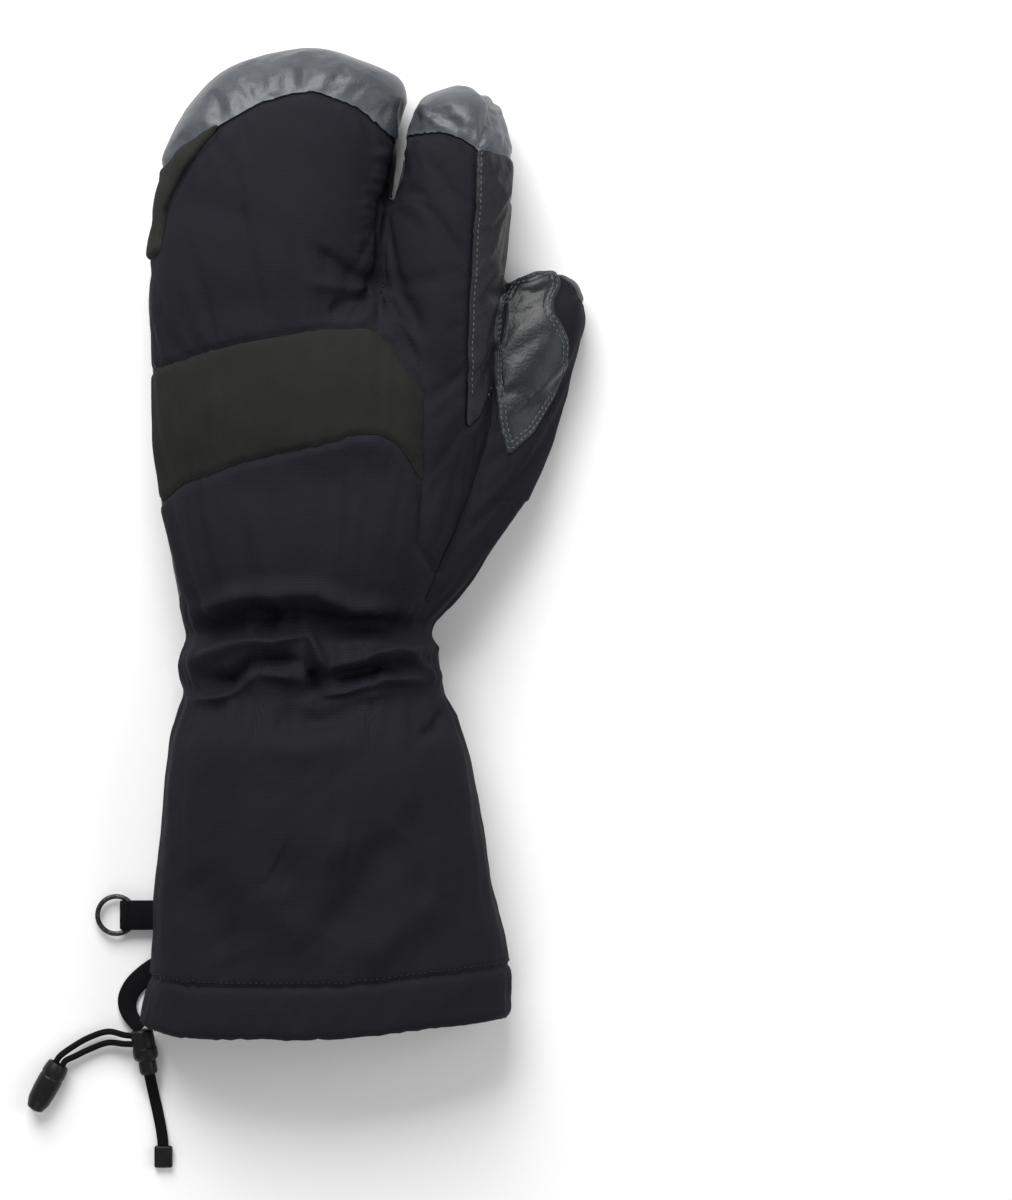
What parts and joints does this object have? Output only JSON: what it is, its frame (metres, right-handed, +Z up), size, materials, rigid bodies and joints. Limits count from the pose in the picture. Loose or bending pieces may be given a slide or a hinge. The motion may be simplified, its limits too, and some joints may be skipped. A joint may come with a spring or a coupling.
{
  "type": "lobster claw mitt",
  "caption": "Padded lobster claw mitt for a left hand, lying palm down: wide finger pocket, separate index finger and thumb, gathered wrist and flared gauntlet with draw cord",
  "frame": {"origin": "on the floor under the middle of the footprint of the mitt without its loose cord and tape", "axes": "+Y points from the gauntlet's hem to the fingertips, +X to the thumb, +Z up to the back of the hand"},
  "size_m": [0.1956, 0.3933, 0.0552],
  "materials": {
    "ripstop": "matt padded ripstop, near black",
    "softshell": "matt olive-black softshell",
    "cap_leather": "blue-grey fine pebbled leather, soft sheen",
    "palm_leather": "dark blue-grey pebbled leather, soft sheen",
    "patch_leather": "dark blue-grey leather with double stitching",
    "webbing": "black woven tape",
    "cord": "black braided cord",
    "rubberised_tab": "smooth black rubberised tab",
    "ring_metal": "dark painted wire",
    "plastic": "fine-grained black plastic"
  },
  "bodies": {
    "root": {"claw_cap": "cap_leather", "index_cap": "cap_leather", "index_side": "cap_leather", "palm": "palm_leather", "index_palm": "palm_leather", "palm_gusset": "palm_leather", "thumb_gusset": "palm_leather", "palm_patch_upper": "patch_leather", "palm_patch_middle": "patch_leather", "palm_patch_lower": "patch_leather", "thumb_patch": "patch_leather", "back_panel": "ripstop", "index_back": "ripstop", "lower_back": "ripstop", "thumb_body": "ripstop", "wrist_cuff": "ripstop", "gauntlet": "ripstop", "hem": "ripstop", "knuckle_band": "softshell", "side_loop": "webbing", "ring_webbing": "webbing", "lock_webbing": "webbing", "pull_tape": "webbing", "drawcord_upper": "cord", "drawcord_lower": "cord", "hem_tab": "rubberised_tab", "ring": "ring_metal", "cord_lock": "plastic", "cord_end": "plastic", "pull_tab": "plastic"}
  },
  "joints": []
}
